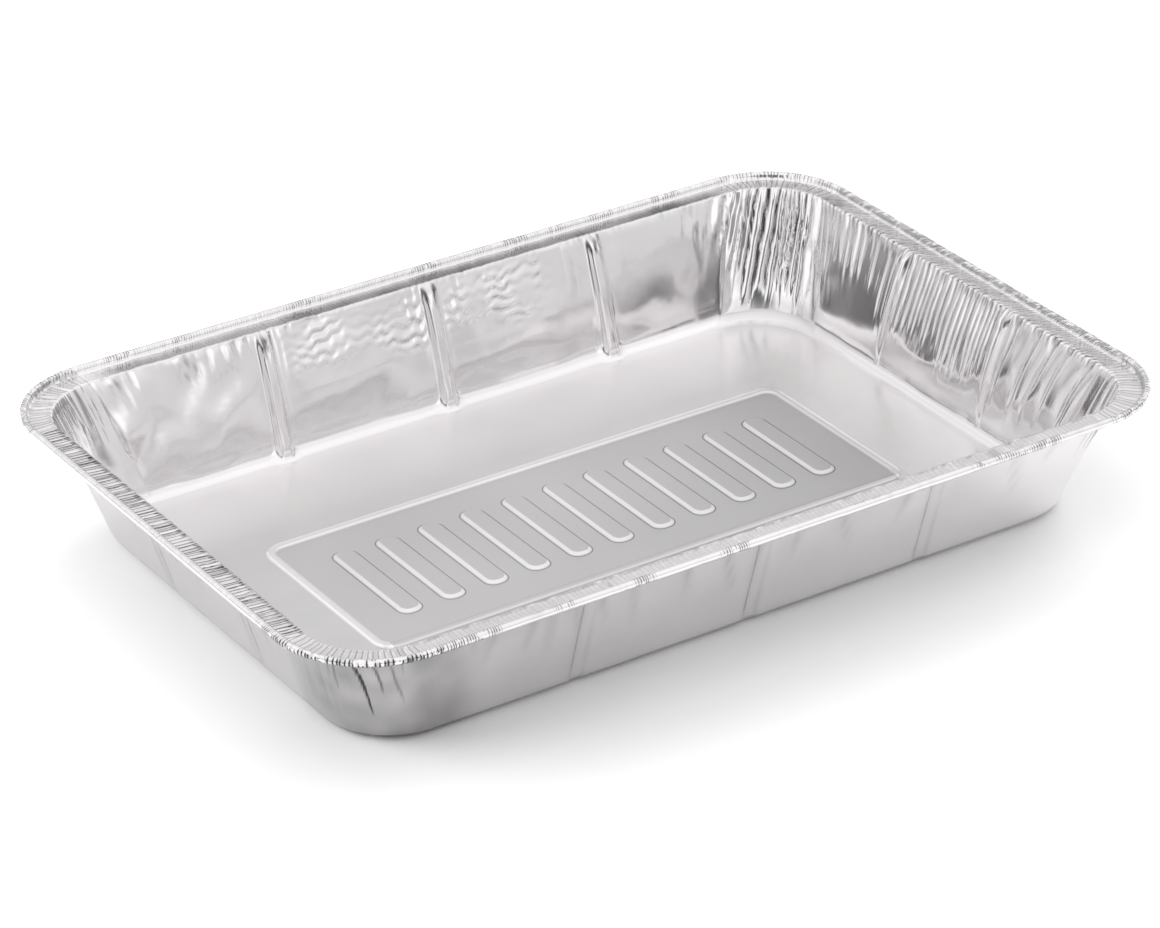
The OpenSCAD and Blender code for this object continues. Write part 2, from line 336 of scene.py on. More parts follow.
def pleat_row(pitch, spread, seed, ends, strength, run_in, shape=tube, middle=0.75, shift=0.0):
    """Depth of a row of pleats about pitch mm wide, and the painted shade of its valleys.

    Each pleat draws its own width, its lower end between the two ends and its strength.
    """
    number, across = gathers(around + shift, pitch, spread, seed)
    end = per_gather(number, *ends, seed + 1)
    lower = smooth(HEIGHT, end, end + run_in)
    deep = np.maximum(per_gather(number, *strength, seed + 2), 0)
    shade = np.clip(per_gather(number, 0.2, 1.5, seed + 3), 0, 1)
    return deep * lower * (shape(across) - middle), shade * np.minimum(deep, 1) * lower * valley(across)


def paint_shade(amount):
    """Paints shade into places of the sheet, where they aren't darker yet."""
    global painted_shade
    painted_shade = np.maximum(painted_shade, amount)


def press(share, row, dark=0.0):
    """Adds a row of pleats to the sheet, and paints shade into its valleys."""
    global depth
    depth = depth + share * row[0]
    paint_shade(dark * np.minimum(share, 1) * row[1])


def near_corner(corner, start, end):
    """1 from the middle of a corner to start, 0 from end on, in mm along the wall's top."""
    return fade(np.abs(around - middles[corner]), start, end)


def print_depth(what):
    """Says how far the sheet is pushed out of its plain section after a step."""
    print(f"{what}: sheet pushed by {depth.min():.2f} to {depth.max():.2f} mm")


back_left = near_corner(BACK_LEFT, 14, 24)
dense = near_corner(BACK_RIGHT, 10, 16) + 0.3 * back_left * smooth(HEIGHT, 0.45, 0.8)
dense += 0.5 * near_corner(FRONT_RIGHT, 10, 20) * smooth(HEIGHT, 0.5, 0.75)
dense += 0.16 * near_corner(NEAR, 10, 20)
lean = -4.0 * (1 - HEIGHT) * near_corner(BACK_RIGHT, 40, 60)
bend = lean + 0.9 * sway + 0.8 * jitter
top_fade = 1 - 0.45 * smooth(RUN, WALL_END, SHELF_START)
top_fade -= 0.55 * smooth(RUN, ROLL_START - 0.6, ROLL_START + 0.4)
main_pleats = pleat_row(3.1, 0.5, 5, ends=(0.0, 0.25), strength=(0.5, 1.3), run_in=0.08, shift=bend)
shade_share = 1 - 0.65 * back_left
press((1.5 + 0.7 * near_corner(BACK_RIGHT, 12, 20)) * dense * ON_WALL, main_pleats, shade_share)
small_pleats = pleat_row(1.7, 0.5, 51, ends=(0.3, 0.85), strength=(0.0, 1.2), run_in=0.15, shift=1.4 * bend)
press((0.5 * dense + 0.35 * back_left) * ON_WALL, small_pleats, 0.5 * shade_share + 0.4 * back_left)
press(0.8 * dense * top_fade * (1 - ON_WALL), main_pleats, 0.8)
beside = near_corner(BACK_RIGHT, 24, 34) * (1 - near_corner(BACK_RIGHT, 10, 16)) * (1 - 0.7 * on_right)
soft_pleats = pleat_row(5.5, 0.35, 62, (0.1, 0.7), (0.2, 1.2), 0.3, swell, 0.5, shift=1.5 * bend)
press(1.1 * beside * ON_WALL, soft_pleats, 0.15)
print_depth("corner pleats")

# %% [markdown]
# The right wall shows three kinds of gathers: single ones by the back, a close row in
# the middle and wide soft folds by the front. The left wall is seen from outside, where
# they are faint. Each kind is a row of its own, faded in and out along the wall.

# %% Pleats of the straight walls
short_walls = (on_right + 0.2 * on_left) * ON_WALL
by_back = smooth(y, 24, 36)
by_front = fade(y, -40, -28)
mid = (1 - by_back) * (1 - by_front)
off_corner = smooth(off_middle, CORNER_ARC - 3, CORNER_ARC + 4)
single = pleat_row(5.2, 0.45, 8, (0.2, 0.7), (-0.6, 1.5), 0.25, shift=0.6 * sway)
close = pleat_row(2.75, 0.3, 11, (0.12, 0.45), (0.6, 1.3), 0.35, shift=0.7 * sway + 0.3 * jitter)
bow = 6.0 * (HEIGHT - 0.5) ** 2
wide = pleat_row(9.5, 0.3, 14, (0.0, 0.35), (0.7, 1.2), 0.35, tube, 0.75, shift=0.8 * sway + bow)
press(1.2 * short_walls * off_corner * by_back, single, 0.35)
press(1.0 * short_walls * off_corner * mid, close, 0.75)
press(1.9 * short_walls * by_front * (1 - 0.6 * dense), wide, 0.35)
print_depth("short walls")

# %% [markdown]
# A rib gap is the distance in mm to the nearest rib. The short pleats stand close to the
# ribs and the corners, where the press pulls the foil most.

# %% Pleats of the long walls
travel = (PLACE[..., :2] * WAY[:, None]).sum(-1)
rib_gap = np.full((STATIONS, LEVELS), 99.0)
for side, ribs in RIBS.items():
    here = (SIDE == side) & (TURN == 0)
    rib_gap[here] = np.min([np.abs(travel[here] - rib) for rib in ribs], axis=0)
by_corner = fade(off_middle, CORNER_ARC + 4, CORNER_ARC + 44)
by_rib = 0.9 * fade(rib_gap, 8, 20) * smooth(rib_gap, 3.5, 5)
short_ones = pleat_row(3.4, 0.45, 17, (0.45, 0.95), (-0.3, 1.2), 0.15, shift=1.0 * sway)
tiny = pleat_row(4.2, 0.6, 71, (0.65, 0.95), (-0.3, 1.2), 0.1, shift=1.6 * sway + 0.6 * jitter)
press(0.9 * on_back * np.maximum(by_corner, by_rib) * ON_WALL, short_ones, 0.4)
press(1.1 * on_back * fade(x, -74, -60) * ON_WALL, tiny, 0.6)
press(0.35 * on_front * np.maximum(by_corner, by_rib) * ON_WALL, short_ones, 0.2)
print_depth("long walls")

# %% [markdown]
# Where the pleats bend over the top of the wall they end in knuckles, like the strands
# of a rope, with painted shade between them. The whole back wall is drawn a little
# darker, and the foot of the back right corner gets painted shade.

# %% Knuckles
number, across = gathers(around + 0.5 * sway, 2.65, 0.25, 11)
knuckle = smooth(RUN, WALL_END - 2.2, WALL_END + 0.3) * fade(RUN, SHELF_START, SHELF_START + 1.3)
knuckle_share = on_right + 0.6 * on_left + 0.2 * in_corner + 0.3 * on_long
strong = knuckle * knuckle_share * per_gather(number, 0.6, 1.2, 19)
depth += 1.15 * strong * (tube(across) - 0.8)
# Painted shade in the valleys between the knuckles.
paint_shade(0.75 * strong * valley(across))
paint_shade(0.07 * on_back * ON_WALL)
corner_foot_shade = near_corner(BACK_RIGHT, 14, 24) * smooth(RUN, 2, 4) * fade(RUN, 7, 12)
paint_shade(0.3 * corner_foot_shade)
print_depth("knuckles")

# %% [markdown]
# The back wall has rows of wavy ripples across its upper part: each hangs over the next
# like a small drape, so a ripple rises slowly and falls back at once. A plain wave would
# look like corrugated card.

# %% Ripples
RIPPLE_PITCH = 4.3
rippled = smooth(x, -61, -54) * fade(x, 34, 58)
rippled = rippled * smooth(soft_noise(22, 24), -0.75, -0.25) * smooth(rib_gap, 3, 6)
scallop = np.sin(math.pi * (x / 3.1 + 1.7 * soft_noise(13, 21))) + 0.5 * soft_noise(4, 27)
row = (WALL_END - RUN) / RIPPLE_PITCH - 0.2 * scallop + 1.1 * soft_noise(19, 22) + 0.35 * soft_noise(7, 23)
end = 0.5 + 0.2 * soft_noise(17, 25)
high_up = smooth(HEIGHT - end, 0, 0.15) * fade(HEIGHT, 0.93, 0.99)
drape = (row % 1) ** 0.7 * fade(row % 1, 0.72, 1.0)
ripple = on_back * rippled * high_up * np.clip(0.75 + 1.4 * soft_noise(11, 26), 0.1, 1.3)
depth += 0.7 * ripple * (drape - 0.4)
# Painted shade under the falling edge of each ripple, where it hangs over the next.
paint_shade(0.25 * ripple * smooth(row % 1, 0.75, 0.95))
print_depth("ripples")

# %% [markdown]
# Every wall has soft dents and a few flat facets from handling, and the back and right
# walls bow inwards a little. Soft noise makes the dents, and the folded waves the facets.

# %% Bow, dents and facets
bowed = np.sin(math.pi * HEIGHT**0.85) * off_corner * (1 - 0.3 * on_back * smooth(x, 70, 100))
depth += bowed * (1.0 * on_back + (1.7 - 1.0 * by_back) * on_right)

calm = ON_WALL * (1 - 0.8 * dense) * smooth(rib_gap, 3, 6) * (1 - 0.6 * on_back * smooth(x, 66, 80))
calm = calm * (1 - 0.5 * on_right * by_back)
inside = on_back + on_right + 0.8 * on_front + 0.5 * on_left
depth += calm * 0.35 * soft_noise(28, 31)
depth += calm * 0.12 * soft_noise(11, 32)
depth += calm * inside * (0.5 + 0.35 * on_back) * facets(33, 5, 22, 44)
first_panel = on_back * fade(x, -80, -66)
crisp = np.maximum(0.25 * smooth(soft_noise(30, 36), -0.1, 0.4), 0.6 * first_panel)
depth += calm * inside * crisp * facets(35, 5, 7, 16)
print_depth("dents")

# %% [markdown]
# Some single creases stand where the real pan shows them. Each has two ends, as places
# along and up the wall in mm, a width, and a height that is negative for a groove. The
# front wall also has short soft ones at drawn places under its top.

# %% Creases
CREASES = (
    (BACK, (-58, 12), (-14, 20), 4.5, 0.5),
    (BACK, (-60, 9), (-30, 14), 4.0, -0.5),
    (BACK, (8, 11), (50, 16), 3.5, 0.8),
    (BACK, (-100, 8), (-84, 22), 4.5, 0.7),
    (BACK, (-122, 10), (-108, 26), 5.0, -0.6),
    (RIGHT, (80, 10), (56, 28), 4.5, 0.9),
    (RIGHT, (12, 7), (-6, 12), 3.5, 0.7),
    (RIGHT, (-42, 6), (-52, 20), 3.0, 0.8),
    (FRONT, (-112, 20), (-96, 34), 3.0, 0.35),
    (FRONT, (-100, 14), (-84, 26), 4.0, -0.3),
    (FRONT, (60, 12), (96, 22), 5.0, 0.3),
    (FRONT, (-92, 38), (-80, 28), 2.0, 0.45),
    (FRONT, (-52, 40), (-40, 31), 2.2, 0.45),
    (FRONT, (-26, 40), (2, 30), 2.6, 0.4),
    (FRONT, (18, 36), (48, 31), 2.6, 0.35),
    (FRONT, (88, 40), (104, 28), 2.4, 0.4),
)
for side, start, end, width, height in CREASES:
    along = x if side in (FRONT, BACK) else y
    depth += height * calm * on_side[side] * crease(along, start, end, width)

SHORT_CREASES = 18
draw = np.random.default_rng(61)
for _ in range(SHORT_CREASES):
    top, drop, aslant = draw.uniform((-118, 8, -7), (118, 22, 7))
    line = crease(x, (top, 40), (top + aslant, 40 - drop), 1.6) * on_front
    depth += 0.5 * calm * line
    # Painted shade in each short crease.
    paint_shade(draw.uniform(0.08, 0.22) * line * ON_WALL)
print_depth("creases")

# %% [markdown]
# The near corner is drawn tighter than the rest, and its foil is folded shut in a few
# creases, each with painted shade in it. Here each is given by the place and height of
# its upper end, the same of its lower end, its width and its strength. Between them the
# corner gets a little painted shade.

# %% Creases of the near corner
NEAR_CREASES = (
    (-2.0, 41, 1.8, 9, 0.6, 0.9),
    (-7.5, 41, -8.5, 20, 0.6, 0.5),
    (-11.0, 40, -10, 26, 0.5, 0.45),
    (4.0, 41, 6.5, 20, 0.6, 0.65),
    (9.5, 40, 12, 16, 0.6, 0.5),
    (13.0, 40, 14, 28, 0.5, 0.4),
    (-15.0, 38, -14, 12, 0.9, 0.3),
)
from_near = around - middles[NEAR] + 1.4 * soft_noise(13, 98)
for upper, upper_end, lower, lower_end, width, strength in NEAR_CREASES:
    line = crease(from_near, (upper, upper_end), (lower, lower_end), width) * ON_WALL
    depth += 0.9 * strength * line
    # Painted shade along each crease.
    paint_shade(strength * smooth(line, 0.12, 0.6))
# Painted shade over the rest of the near corner.
near_corner_shade = near_corner(NEAR, 26, 46) * fade(RUN, WALL_END - 1, WALL_END + 0.5)
near_corner_shade = near_corner_shade * (0.9 + 0.5 * soft_noise(9, 97))
paint_shade(0.3 * near_corner_shade)
print_depth("near corner")

# %% [markdown]
# The ribs are pressed into the same sheet, not set on it, so their back is hollow. On the
# long walls a rib is a flat-topped flute, and at its foot the foil spreads out in a small
# triangle. On the short walls it is pinched to a point there. All of them are a little
# crushed where the shelf was folded over them.

# %% Ribs
RIB_HALF = 3.4
RIB_DEPTH = 1.6
FOOT_PLACES = (0.0, 1.6, 3.2, 4.8, 6.4, 9.5, 13.0)
FOOT_HEIGHTS = (0.0, 0.3, 0.8, 1.0, 0.9, 0.5, 0.0)
short_half = RIB_HALF * (0.4 + 0.6 * smooth(HEIGHT, 0.05, 0.75))
rib_half = np.where(on_long > 0, RIB_HALF, short_half)
flute = fade(rib_gap / rib_half, 0.4, 1)
foot = np.where(on_long > 0, smooth(RUN, 1.5, 6.5), smooth(RUN, WALL_START - 1, WALL_START + 6))
crushed = fade(RUN, WALL_END - 2.5, SHELF_START)
rib_deep = RIB_DEPTH * (on_back + 1.2 * on_right + 0.6 * on_front + 0.4 * on_left)
depth += rib_deep * flute * foot * crushed
# A line of painted shade beside the ribs of the front and left walls.
rib_edge_shade = np.exp(-(((rib_gap - 2.6) / 0.7) ** 2)) * (0.7 + 0.6 * soft_noise(9, 83))
paint_shade(0.18 * (on_front + on_left) * rib_edge_shade * foot * crushed)
foot_height = np.interp(RUN, FOOT_PLACES, FOOT_HEIGHTS)
foot_half = 0.3 + 5.0 * (1 - np.clip(RUN / FOOT_PLACES[-1], 0, 1))
depth += on_back * foot_height * np.clip(1.5 - rib_gap / foot_half, 0, 1)

back_tops = on_back * fade(rib_gap, 2.2, 3.6) * smooth(RUN, WALL_END - 9, WALL_END - 5)
right_tops = on_right * fade(rib_gap, 2.5, 4.5) * smooth(RUN, WALL_END - 7, WALL_END - 4)
top_of_rib = (back_tops + right_tops) * crushed
depth += 0.9 * top_of_rib * soft_noise(1.9, 81)
# Painted shade in the crumples at the top of the ribs.
paint_shade(0.8 * top_of_rib * smooth(soft_noise(1.6, 82), 0.05, 0.3))
print_depth("ribs")

# %% [markdown]
# The shelf sinks a little from the wall's top to the roll. On the short sides its spare
# foil lies in small folds, squeezed flat across it: every fold is tilted its own way, with
# a line of painted shade beside it. On the long sides it is smoother.

# %% Folds of the shelf
across_shelf = np.clip((RUN - SHELF_START) / (ROLL_START - SHELF_START), 0, 1)
depth -= 0.45 * (1 - (1 - across_shelf) ** 2) * (1 - ON_ROLL)

ladder = on_right * 0.45 + on_left + 0.3 * in_corner
slant = 0.9 * (RUN - SHELF_START) * on_right + 0.25 * (RUN - SHELF_START) * on_left + 0.5 * sway
number, across = gathers(around + slant, 1.9, 0.45, 41)
tilt = per_gather(number, -1.0, 1.0, 42) * (ladder + 0.12 * on_long) * ON_SHELF
depth += 0.22 * tilt * across
depth += 0.3 * ladder * ON_SHELF * per_gather(number, 0.0, 1.0, 52) * (tube(across) - 0.8)
# Painted shade in the valleys of the shelf's folds.
paint_shade(0.35 * ladder * ON_SHELF * per_gather(number, 0.0, 1.2, 53) * valley(across))
number, across = gathers(around + 0.7 * slant, 5.0, 0.5, 48)
depth += 0.3 * on_long * ON_SHELF * per_gather(number, -1.0, 1.0, 49) * swell(across)
# Painted shade at the edges of the wider folds of the front shelf.
front_fold_shade = 0.35 * on_front * ON_SHELF * per_gather(number, -1.0, 1.0, 54)
paint_shade(front_fold_shade * smooth(np.abs(across), 0.9, 1))
depth += 0.12 * ON_SHELF * soft_noise(9, 43)
print_depth("shelf")

# %% [markdown]
# The roll is wrinkled along with the shelf, always inwards, so the pan never grows past
# its true size.

# %% Wrinkles of the roll
number, across = gathers(around + 0.8 * sway, 1.9, 0.5, 44)
worn = smooth(soft_noise(16, 45), -0.4, 0.4)
wrinkled = on_right + 0.4 * on_left + in_corner + 0.4 * on_long
deep = per_gather(number, 0.0, 1.2, 46) * wrinkled * ON_ROLL * (0.3 + 0.7 * worn)
depth -= 0.45 * deep * (1 - tube(across))
# Painted shade in the valleys of the roll's wrinkles.
paint_shade(0.3 * deep * valley(across))
depth -= ON_ROLL * (0.02 + 0.07 * (1 + soft_noise(12, 47)))
depth -= 0.22 * ON_ROLL * wrinkled * (0.4 + 0.6 * worn) * (1 + soft_noise(1.7, 91))
depth[:, 0] = 0
print_depth("roll")

# %% [markdown]
# Some darkness is painted shade: a dark band across the shelf, lines in the crevice where
# the roll starts and along the shelf's inner edge, and lines in very fine folds. It follows
# the sheet, so each point hands it to the material as attributes.

# %% Painted shade and fine-fold marks
# Painted shade: a dark band across the shelf, strongest by the wall's top.
shelf_shade_band = np.interp(across_shelf, (0, 0.2, 0.5, 0.8, 1), (0.85, 0.9, 0.72, 0.28, 0.0)) * (1 - ON_ROLL)
shelf_shade_band = shelf_shade_band * smooth(RUN, WALL_END + 0.6, SHELF_START) * (0.9 + 0.35 * soft_noise(14, 55))
shelf_shade_band *= 1 - 0.4 * on_back * fade(x, -110, 10)
back_shelf = on_back * smooth(off_middle, CORNER_ARC, CORNER_ARC + 15)
back_right = near_corner(BACK_RIGHT, 24, 34)
paint_shade(shelf_shade_band * (back_shelf + 0.12 * on_right + 0.4 * back_right))
# Painted shade in the crevice where the roll starts, and along the shelf's inner edge.
crevice_shade = fade(np.abs(RUN - ROLL_START - 0.2), 0.2, 1.1)
edge_shade_line = fade(np.abs(RUN - SHELF_START), 0.2, 0.9) * (on_front + on_left)
broken = smooth(soft_noise(2.5, 50), -0.5, 0.3)
shade_share = on_front + on_left + 0.6 * in_corner * (1 - back_right) + 0.2 * on_right
paint_shade(0.75 * broken * (crevice_shade * shade_share + 0.6 * edge_shade_line))
painted_shade = np.clip(painted_shade, 0, 1)

# Where the fine folds of the shelf and the roll get lines of painted shade and a slight bump.
shelf_lines = ON_SHELF * (1.25 * on_left + 0.6 * on_right + 0.6 * in_corner + 0.15 * on_long)
over_roll = smooth(RUN, ROLL_START + 0.3, ROLL_START + 1.2)
clusters = smooth(soft_noise(13, 99), 0.1, 0.35)
roll_ticks = over_roll * (1.4 * on_right + 0.2 * on_left + 0.7 * in_corner)
roll_ticks += over_roll * (on_front * clusters + on_back * (0.25 + 0.6 * clusters))
outer_half = smooth(RUN, ROLL_START + 4.0, ROLL_START + 5.0) * fade(RUN, ROLL_START + 7.0, ROLL_START + 8.0)
roll_ticks += near_corner(NEAR, 18, 34) * (3.4 * outer_half + 0.3 * over_roll - roll_ticks)
along_folds = around + slant
print("share of the sheet in closed folds:", round(float((painted_shade > 0.5).mean()), 3))

# %% [markdown]
# ## The sheet
# The sheet starts as a flat grid, one column for each station and one row for each
# level. It is laid round the pan, and its two ends are joined. Levels that a plain part
# doesn't need are dissolved there, to keep the sheet light.

# %% The wall of the sheet
points = (PLACE + depth[..., None] * SQUARE) * MM
LAP = AROUND[-1] + np.linalg.norm(wall_top[0] - wall_top[-1])
at_ripples = (SIDE == BACK) & (TURN == 0) & (rippled.max(axis=1) > 0)
plain = ((SIDE == FRONT) | (SIDE == LEFT)) & (TURN == 0)
print("stations at the ripples:", int(at_ripples.sum()), "on plain walls:", int(plain.sum()))


def lay_sheet():
    """The wall, shelf and roll as one ring, from the edge of the flat floor outwards."""
    bm = bmesh.new()
    bmesh.ops.create_grid(bm, x_segments=STATIONS, y_segments=LEVELS - 1, size=0.5)
    # The painted shade goes to the material as an attribute, with the marks of the fine folds.
    marks = {"painted_fold_shade": painted_shade, "shelf_lines": shelf_lines, "roll_ticks": roll_ticks}
    layers = {name: bm.verts.layers.float.new(name) for name in marks}
    fold_place = bm.loops.layers.float_vector.new("fold_place")
    spots = {}
    for vertex in bm.verts:
        station = round((vertex.co.x + 0.5) * STATIONS)
        level = LEVELS - 1 - round((vertex.co.y + 0.5) * (LEVELS - 1))
        spots[vertex] = (station, level)
    extra = []
    for edge in bm.edges:
        (a, level), (b, other) = [spots[v] for v in edge.verts]
        first = min(a, b) % STATIONS
        spare = level in SPARE_LEVELS and plain[first]
        if level == other and (spare or level in EXTRA_LEVELS and not at_ripples[first]):
            extra.append(edge)
    for vertex, (station, level) in spots.items():
        vertex.co = points[station % STATIONS, level]
        for name, values in marks.items():
            vertex[layers[name]] = values[station % STATIONS, level]
    for face in bm.faces:
        for loop in face.loops:
            station, level = spots[loop.vert]
            lap, station = divmod(station, STATIONS)
            loop[fold_place] = (along_folds[station, level] + lap * LAP, RUN[station, level], 0)
    bmesh.ops.dissolve_edges(bm, edges=extra, use_verts=True)
    bmesh.ops.remove_doubles(bm, verts=bm.verts, dist=1e-7)
    return bm


bm = lay_sheet()
ring_edges = [e for e in bm.edges if e.is_boundary and all(v.co.z < 1e-3 for v in e.verts)]
print("sheet:", len(bm.verts), "points, floor ring:", len(ring_edges), "edges")

# %% [markdown]
# ## The floor
# A frame is pressed up round the middle of the floor, with a row of ribs inside it. Each
# raised shape starts as one flat face with rounded corners. Insets with a height make
# its slopes, and narrow insets without one keep the bends crisp. The flat floor is then
# filled in between them. The foot of each rib is marked with painted shade, a thin dark line.

# %% Raised shapes of the floor
FRAME_HALF = (108.0, 42.0)
FRAME_RADIUS = 8.0
BEAD_WIDTH = 4.0
BEAD_HEIGHT = 0.8
BEAD_SLOPE = 1.0
FLOOR_RIBS = 11
FLOOR_RIB_PITCH = 17.0
FLOOR_RIB_HALF = (5.0, 25.0)
FLOOR_RIB_RADIUS = 4.4
FLOOR_RIB_HEIGHT = 1.1
FLOOR_RIB_SLOPE = 1.6
# How dark the painted shade at the foot of each rib is.
FLOOR_RIB_SHADE = 0.55
BEAD_BEND, BEAD_BEND_RISE = 0.25, 0.06
RIB_BEND, RIB_BEND_RISE = 0.3, 0.07


def rounded_face(bm, middle, half, radius, steps):
    """One flat face with round corners, on the floor."""
    made = bmesh.ops.create_grid(bm, x_segments=1, y_segments=1, size=1.0)["verts"]
    bmesh.ops.scale(bm, vec=(half[0] * MM, half[1] * MM, 1), verts=made)
    bmesh.ops.translate(bm, vec=(middle[0] * MM, middle[1] * MM, FOIL * MM), verts=made)
    bmesh.ops.bevel(
        bm, geom=made, offset=radius * MM, offset_type="OFFSET", segments=steps, profile=0.5,
        affect="VERTICES", material=-1,
    )
    many_sided = [f for f in bm.faces if len(f.verts) >= 4 * steps]
    return max(many_sided, key=lambda f: f.index)


def raise_face(bm, face, insets):
    """Insets the face again and again. Each step is [width, height] in mm."""
    for width, height in insets:
        bmesh.ops.inset_individual(bm, faces=[face], thickness=width * MM, depth=height * MM)


def press_floor():
    """The raised frame and ribs, with the flat floor inside and outside of the frame."""
    bm = bmesh.new()
    # The layer of painted shade that the material reads.
    rib_shade_layer = bm.verts.layers.float.new("painted_fold_shade")
    frame_face = rounded_face(bm, (0, 0), FRAME_HALF, FRAME_RADIUS, 8)
    crest = BEAD_WIDTH - 2 * BEAD_SLOPE
    bend = (BEAD_BEND, BEAD_BEND_RISE)
    slope = (BEAD_SLOPE - 2 * BEAD_BEND, BEAD_HEIGHT - 2 * BEAD_BEND_RISE)
    up = [(0.3, 0), bend, slope, bend]
    top = [(BEAD_BEND, 0), (crest - 2 * BEAD_BEND, 0), (BEAD_BEND, 0)]
    down = [(width, -height) for width, height in reversed(up)]
    raise_face(bm, frame_face, up + top + down)
    inner = list(frame_face.edges)
    bmesh.ops.delete(bm, geom=[frame_face], context="FACES_ONLY")
    frame_edges = set(bm.edges)
    foot_line = []
    bend = (RIB_BEND, RIB_BEND_RISE)
    slope = (FLOOR_RIB_SLOPE - 2 * RIB_BEND, FLOOR_RIB_HEIGHT - 2 * RIB_BEND_RISE)
    for i in range(FLOOR_RIBS):
        middle = (i - (FLOOR_RIBS - 1) / 2) * FLOOR_RIB_PITCH
        rib_face = rounded_face(bm, (middle, 0), FLOOR_RIB_HALF, FLOOR_RIB_RADIUS, 6)
        raise_face(bm, rib_face, [(RIB_BEND, 0)])
        foot_line += rib_face.verts
        raise_face(bm, rib_face, [bend, slope, bend, (RIB_BEND, 0)])
    inner += [e for e in bm.edges if e.is_boundary and e not in frame_edges]
    bmesh.ops.triangle_fill(bm, use_beauty=True, edges=inner)
    # Painted shade: a thin dark line along the foot of each rib.
    for vertex in foot_line:
        vertex[rib_shade_layer] = FLOOR_RIB_SHADE
    return bm


floor_bm = press_floor()
print("floor:", len(floor_bm.verts), "points", len(floor_bm.faces), "faces")

# %% [markdown]
# The pressed middle is put into the ring of the sheet, and the flat floor between them is
# filled. Every face is then turned the same way, with the floor's upper side up, before
# the foil gets its thickness downwards.

# %% One sheet
pressed = bpy.data.meshes.new("pressed_floor")
floor_bm.to_mesh(pressed)
floor_bm.free()
bm.from_mesh(pressed)
bpy.data.meshes.remove(pressed)
rims = [e for e in bm.edges if e.is_boundary and all(v.co.z < 1e-3 for v in e.verts)]
print("edges round the gap:", len(rims))
filled = bmesh.ops.triangle_fill(bm, use_beauty=True, edges=rims)["geom"]
flat = {f for f in filled if isinstance(f, bmesh.types.BMFace)}
bmesh.ops.recalc_face_normals(bm, faces=bm.faces)
floor_faces = [f for f in bm.faces if f.calc_center_median().z < 0.0005]
if sum(f.normal.z for f in floor_faces) < 0:
    bmesh.ops.reverse_faces(bm, faces=bm.faces)
for face in bm.faces:
    face.smooth = face not in flat
sheet_mesh = bpy.data.meshes.new("pan_sheet")
bm.to_mesh(sheet_mesh)
open_edges = sum(e.is_boundary for e in bm.edges)
bm.free()
sheet = bpy.data.objects.new("pan_sheet", sheet_mesh)
bpy.context.scene.collection.objects.link(sheet)
thickness = sheet.modifiers.new("foil", "SOLIDIFY")
thickness.thickness = FOIL * MM
thickness.offset = -1
triangles = 2 * sum(len(p.vertices) - 2 for p in sheet_mesh.polygons)
print("triangles on both sides:", triangles)
print("sheet faces:", len(sheet_mesh.polygons), "open edges (the roll's end):", open_edges)

# %% [markdown]
# ## The finish
# Rolled foil is bright, but not a mirror: fine rolling lines and grain blur it. Nodes work
# the finish out from the place on the pan, so it needs no picture and no unwrapping. These
# helpers keep the sums short.

# %% Helpers for the finish


def make_node(tree, kind, inputs=None, **settings):
    """A node with its settings. An input is a value, or an output of another node."""
    node = tree.nodes.new(kind)
    for name, value in settings.items():
        setattr(node, name, value)
    for name, value in (inputs or {}).items():
        if isinstance(value, bpy.types.NodeSocket):
            tree.links.new(value, node.inputs[name])
        else:
            node.inputs[name].default_value = value
    return node


def attribute(tree, name):
    """What the points of the sheet hand over under this name."""
    return make_node(tree, "ShaderNodeAttribute", attribute_name=name).outputs


def math_node(tree, operation, first, second):
    """A sum, product or other result of two outputs or numbers."""
    return make_node(tree, "ShaderNodeMath", {0: first, 1: second}, operation=operation).outputs[0]


def vector_node(tree, operation, first, second=(0, 0, 0)):
    """The same for two directions or places."""
    return make_node(tree, "ShaderNodeVectorMath", {0: first, 1: second}, operation=operation).outputs


def between(tree, value, low, high, least=0.0, most=1.0):
    """least where the value is under low, most where it is over high, an S curve between."""
    inputs = {"Value": value, "From Min": low, "From Max": high, "To Min": least, "To Max": most}
    return make_node(tree, "ShaderNodeMapRange", inputs, interpolation_type="SMOOTHSTEP").outputs[0]


def sums(tree):
    """Times, plus, minus, the larger of two, is above, and is below, as nodes of one tree."""
    kinds = ("MULTIPLY", "ADD", "SUBTRACT", "MAXIMUM", "GREATER_THAN", "LESS_THAN")
    return [partial(math_node, tree, kind) for kind in kinds]


def add_group(name, inputs, outputs):
    """An empty node group with these inputs and outputs, and the nodes at its two ends."""
    tree = bpy.data.node_groups.new(name, "ShaderNodeTree")
    for socket in inputs:
        tree.interface.new_socket(socket, in_out="INPUT", socket_type="NodeSocketVector")
    for socket in outputs:
        tree.interface.new_socket(socket, in_out="OUTPUT", socket_type="NodeSocketFloat")
    start = tree.nodes.new("NodeGroupInput") if inputs else None
    return tree, start, tree.nodes.new("NodeGroupOutput")


# %% [markdown]
# The framed part of the floor is pressed against a rough die, so it is duller and grainy,
# and it is drawn darker on its right half. The rest of the floor is dull too, but brighter
# towards the back wall and the right end. The outer side of the walls is rougher, and
# painted shade makes it darker, more to the left; the front side of the frame's bead and
# the folds marked on the sheet get painted shade too.

# %% Surface of the foil
# The fold, outer and near-bead values are strengths of painted shade; the framed, floor and cloudy ones are
# dullness of the finish.
FRAMED_DULL, FLOOR_DULL, OUTER_SHADE, NEAR_BEAD_SHADE = 0.08, 0.21, 0.14, 0.25
PAINTED_SHADE_STRENGTH, CLOUDY_DULL = 0.92, 0.15
BRIGHT_FROM_X, BRIGHT_FROM_Y = 0.07, 0.05


